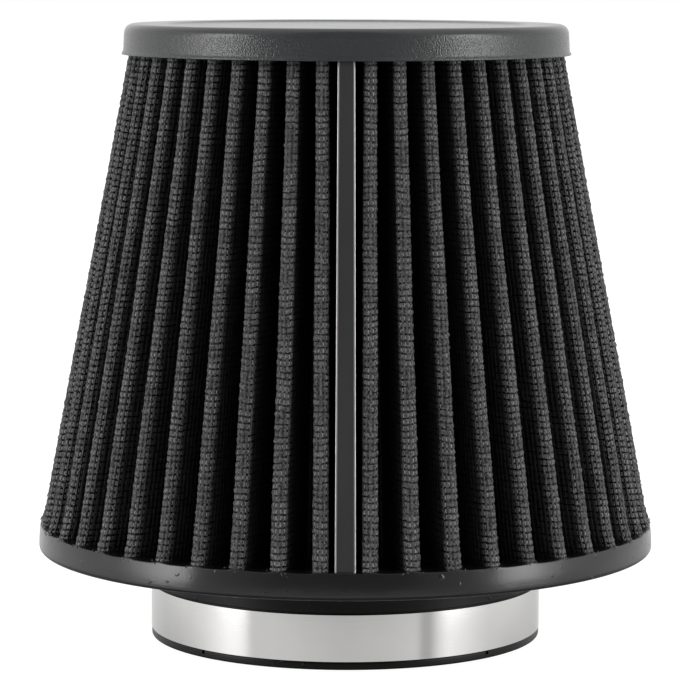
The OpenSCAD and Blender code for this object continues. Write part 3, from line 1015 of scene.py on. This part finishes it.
# A path turned about the Z axis, each point pushed along the path's normal: gives radii and
# heights (rows, turns).
def pushed(path, push):
    normal = pathNormals(path)
    return path[:, :1] + normal[:, :1] * push, path[:, 1:] + normal[:, 1:] * push


def turnedMesh(name, r, z, turns, sharp, closed=False):  # a closed surface of radii and heights
    points = np.stack([r * np.cos(turns), r * np.sin(turns), z + 0 * turns], -1) * mm
    if closed:
        points = np.concatenate([points, points[:1]])
    mesh = gridMesh(name, points, around=True)
    weld(mesh, doubles["fine"])
    sharpen(mesh, sharp)
    return mesh


cap = {  # mm
    "seed": 3,
    "lipZ": 163.3,
    "faceZ": 164.3,
    "top": 171.8,
    "lipR": 62.7,
    "lipRound": 0.2,
    "sideR": 62.2,
    "topR": 61.9,
    "skirtR": 61.75,
    "flareHeight": 1.2,
    "edge": 2.6,
    "panelR": 51.0,
    "panelDepth": 0.5,
    "panelSlope": 1.8,
    "pebble": 0.014,
    "pebbleFrom": (163.6, 164.6),  # heights over which the pebbling comes and goes
    "pebbleTo": (168.8, 171.0),
    "unevenTop": 0.02,
    "unevenFrom": (0, 30),  # radii
    "unevenCells": (4, 40),
    "turns": 1000,
    "sharp": 50,
}


# The cap's profile turned about the axis, its side pebbled and its top a little uneven, both by
# random levels along the profile's normal.
def makeCap():
    c = cap
    rng = np.random.default_rng(c["seed"])
    bend = c["lipRound"]
    lip = c["lipR"] - bend
    panelZ = c["top"] - c["panelDepth"]
    path = pathPoints(
        (0, c["faceZ"]), (c["skirtR"], c["faceZ"], 6), (c["skirtR"], c["lipZ"], 2),
        (lip, c["lipZ"], 2), (lip, c["lipZ"] + bend, bend, -90, 20, 3),
        (c["sideR"], c["lipZ"] + c["flareHeight"], 3), (c["topR"], c["top"] - c["edge"], 12),
        (c["topR"] - c["edge"], c["top"] - c["edge"], c["edge"], 0, 90, 10),
        (c["panelR"], c["top"], 8), (c["panelR"] - c["panelSlope"], panelZ, 5), (0, panelZ, 10),
    )
    turns = np.arange(c["turns"]) / c["turns"] * 2 * math.pi
    rows, radius, height = len(path), path[:, 0], path[:, 1]
    onSide = (radius > c["skirtR"] + hair) * (1 - smooth(height, *c["pebbleTo"]))
    onSide = onSide * smooth(height, *c["pebbleFrom"])
    onTop = (height > panelZ - hair) * smooth(radius, *c["unevenFrom"])
    fine = closedNoise(rng, rows, turns, rows, c["turns"] // 2)
    wide = closedNoise(rng, rows, turns, *c["unevenCells"])
    push = c["pebble"] * onSide[:, None] * (fine - 1)
    push = push + c["unevenTop"] * onTop[:, None] * (wide - 1)
    mesh = turnedMesh("cap_moulding", *pushed(path, push), turns, c["sharp"])
    node = "top_cap"
    newPiece(mesh.name, mesh, finishes[node], "filter", slots[node], node)
    print("cap made:", rows, "rows")


base = {  # mm, and degrees where turns and angles are meant
    "seed": 5,
    "boreR": 50.8,
    "grooveR": 54.2,
    "lipR": 54.8,
    "lipH": 2.3,
    "lipEdge": 0.5,
    "lipBevel": 0.3,
    "shoulderZ": 15.5,
    "shoulderBevel": 0.1,
    "fillet": 3.0,
    "ringLow": 24.8,
    "ringTop": 32.0,
    "ringR": 86.5,
    "edge": 1.25,
    "topEdge": 0.35,
    "belly": 0.38,  # how far the wall leans in towards its top
    "flatR": 81.0,
    "throat": 4.0,
    "chamfer": 0.6,
    "notchDepth": 1.0,
    "notchWidth": 1.0,
    "notchLow": 1.15,
    "notchHigh": 2.4,
    "notchAngles": (45, 135, 225, 315),
    "seatR": 53.57,  # the saddle's seat at the back of the neck
    "seatLow": 1.55,
    "seatHigh": 15.75,
    "seatFrom": 81.07,  # angles
    "seatTo": 98.93,
    "cut": 0.02,  # degrees on each side of a notch's or the seat's edge
    "uneven": 0.035,  # casting of the ring's wall
    "wallR": 80,
    "wallFrom": (24.9, 26.5),  # heights over which it begins
    "unevenCells": ((6, 46), (12, 150)),
    "fineShare": 0.5,
    "topBand": 0.5,  # height of what counts as the ring's top
    "climb": 0.5,  # how far the casting creeps up the crests
    "climbGap": 0.9,
    "climbFade": 0.45,
    "climbFrom": (79, 82),  # radii
    "wavy": 0.12,  # the ring's upper edge
    "wavyFrom": (84, 85.5),
    "wavyCells": (1, 90),
    "turns": 720,
    "sharp": 50,
}


# The profile of ring, neck and lip, from the mouth up the outside and back down the bore.
def basePath():
    b = base
    lip, fillet, low, top = b["lipR"], b["fillet"], b["ringLow"], b["ringTop"]
    shoulder, bevel = b["shoulderZ"], b["shoulderBevel"]
    wallLow, wallTop = low + b["edge"], top - b["topEdge"]
    steps = np.linspace(0, 1, 12)[1:]
    wall = [(b["ringR"] - b["belly"] * t * t, wallLow + (wallTop - wallLow) * t, 1) for t in steps]
    rim = b["ringR"] - b["belly"] - b["topEdge"]
    throat = b["boreR"] + b["throat"]
    doubled = [(lip, b[name] + s * hair, 1) for name in ("notchLow", "seatLow") for s in (-1, 1)]
    return pathPoints(
        (b["boreR"] + b["chamfer"], 0), (lip - b["lipEdge"], 0, 2),
        (lip - b["lipEdge"], b["lipEdge"], b["lipEdge"], -90, 0, 4), *doubled,
        (lip, b["lipH"] - b["lipBevel"], 1), (lip - b["lipBevel"], b["lipH"], 2),
        (b["grooveR"], b["lipH"], 1), (b["grooveR"], shoulder, 6), (lip - bevel, shoulder, 1),
        (lip, shoulder + bevel, 1), (lip, b["seatHigh"] - hair, 1), (lip, b["seatHigh"] + hair, 1),
        (lip, low - fillet, 4), (lip + fillet, low - fillet, fillet, 180, 90, 6),
        (b["ringR"] - b["edge"], low, 10), (b["ringR"] - b["edge"], wallLow, b["edge"], -90, 0, 6),
        *wall, (rim, wallTop, b["topEdge"], 0, 90, 3), (b["flatR"], top, 10), (throat, top, 6),
        (throat, top - b["throat"], b["throat"], 90, 180, 6), (b["boreR"], b["chamfer"], 8),
    )


# The profile turned about the axis. The wall is uneven by random levels, the casting climbs each
# crest's foot by a falling exponential of the distance from it, and the notches in the lip and
# the seat of the clamp's saddle are radii that may not be passed.
def makeBase():
    b = base
    rng = np.random.default_rng(b["seed"])
    path = basePath()
    rows = len(path)
    halfNotch = math.degrees(b["notchWidth"] / 2 / b["lipR"])
    edges = [angle + s * halfNotch for angle in b["notchAngles"] for s in (-1, 1)]
    edges = np.array(edges + [b["seatFrom"], b["seatTo"]])
    turns = np.arange(b["turns"]) * 360 / b["turns"]
    turns = np.unique(np.concatenate([turns, edges - b["cut"], edges + b["cut"]]))
    angle = np.radians(turns)
    radius, height = path[:, :1], path[:, 1:]
    onWall = (radius > b["wallR"]) * smooth(height, *b["wallFrom"])
    wide, fine = b["unevenCells"]
    noise = closedNoise(rng, rows, angle, *wide)
    noise = noise + b["fineShare"] * closedNoise(rng, rows, angle, *fine)
    r, z = pushed(path, b["uneven"] * onWall * (noise - (1 + b["fineShare"])))  # never outwards
    onTop = height > b["ringTop"] - b["topBand"]
    fold = foldAt(b["ringTop"])
    crests = np.array([crestTurn(k, b["ringTop"]) for k in range(pack["crests"])])
    off = angle[:, None] - (math.radians(pack["seamAngle"]) + crests)[None, :]
    off = np.abs((off + math.pi) % (2 * math.pi) - math.pi).min(axis=1)
    away = np.hypot(r * np.cos(off) - (crestRadius(b["ringTop"]) - fold), r * np.sin(off))
    away = np.maximum(away - fold - b["climbGap"], 0)
    climb = b["climb"] * np.exp(-away / b["climbFade"]) * smooth(r, *b["climbFrom"])
    wavy = b["wavy"] * closedNoise(rng, rows, angle, *b["wavyCells"]) * smooth(r, *b["wavyFrom"])
    z = z + onTop * (climb + wavy)
    notched = np.abs((turns[None, :] - np.array(b["notchAngles"])[:, None] + 180) % 360 - 180)
    notched = (notched.min(axis=0) < halfNotch) & (height > b["notchLow"])
    notched = notched & (height < b["notchHigh"]) & (r > b["grooveR"] - hair)
    r = np.where(notched, np.minimum(r, b["lipR"] - b["notchDepth"]), r)
    seated = (turns > b["seatFrom"]) & (turns < b["seatTo"])
    seated = seated & (height > b["seatLow"]) & (height < b["seatHigh"])
    r = np.where(seated, np.minimum(r, b["seatR"]), r)
    mesh = turnedMesh("base_moulding", r, z, angle, b["sharp"], closed=True)
    node = "base_flange"
    newPiece(mesh.name, mesh, finishes[node], "filter", slots[node], node)
    print("base made:", rows, "rows")


worm = {  # mm
    "axisY": 60.2859,
    "axisZ": 8.65,
    "radius": 4.2,
    "core": 3.2,
    "pilot": 2.0,
    "pilotBevel": 0.2,
    "pilotEnd": -8.2,
    "from": -6.8,
    "to": 6.4,
    "fade": 0.8,
    "joinAt": 7.2,  # the head beyond this x keeps its solid's form
    "overlap": 0.2,
    "pitch": 3.0,
    "ridgeHalf": 0.36,  # of a pitch, at the thread's foot
    "ridgeFlank": 0.16,
    "steps": 90,
    "sides": 48,
    "sharp": 35,
}


# The worm's radius at x and angle a: a trapezoid between core and full radius by the fraction
# of x / pitch + a / turn, faded out at both ends.
def makeWorm():
    w = worm
    bevel, core = w["pilotBevel"], w["core"]
    angle = np.linspace(0, 2 * math.pi, w["sides"], endpoint=False)
    x = np.concatenate([
        [w["pilotEnd"], w["pilotEnd"], w["pilotEnd"] + bevel, w["from"], w["from"]],
        np.linspace(w["from"], w["to"], w["steps"]), [w["to"], w["joinAt"], w["joinAt"]]])
    plain = np.concatenate([
        [0, w["pilot"] - bevel, w["pilot"], w["pilot"], core], np.full(w["steps"], core),
        [core, core, 0]])
    phase = (x[:, None] / w["pitch"] + angle / (2 * math.pi)) % 1
    ridge = np.clip((w["ridgeHalf"] - np.abs(phase - 0.5)) / w["ridgeFlank"], 0, 1)
    fade = smooth(x, w["from"], w["from"] + w["fade"])
    fade = fade * (1 - smooth(x, w["to"] - w["fade"], w["to"]))
    r = plain[:, None] + (w["radius"] - core) * ridge * fade[:, None]
    y = w["axisY"] + r * np.cos(angle)
    z = w["axisZ"] + r * np.sin(angle)
    points = np.stack([x[:, None] + 0 * r, y, z], -1) * mm
    thread = gridMesh("thread", points, around=True)
    head = smoothCopy("clamp_screw", "clamp_worm", "screw", keepFrom=w["joinAt"] - w["overlap"])
    head.data = joinMeshes("clamp_worm", [head.data, thread])
    weld(head.data, doubles["coarse"])
    sharpen(head.data, w["sharp"])
    head.data.materials.append(finishes["clamp_screw"])
    print("worm made:", w["steps"], "steps")


makeScreen()
makeInnerScreen()
makeFrayedWires()
makeCap()
makeBase()
makeWorm()
smoothCopy("seam_clip", "seam_channel", rounding=0.16)
smoothCopy("clamp_band", "clamp_strip")
smoothCopy("clamp_saddle", "clamp_seat")
smoothCopy("clamp_housing", "clamp_cover")
for name in ("filter_media", "seam_label"):  # these keep their solids' form
    mesh = nodes[name].data
    mesh.materials.clear()
    mesh.materials.append(finishes[name])
print("pieces made")
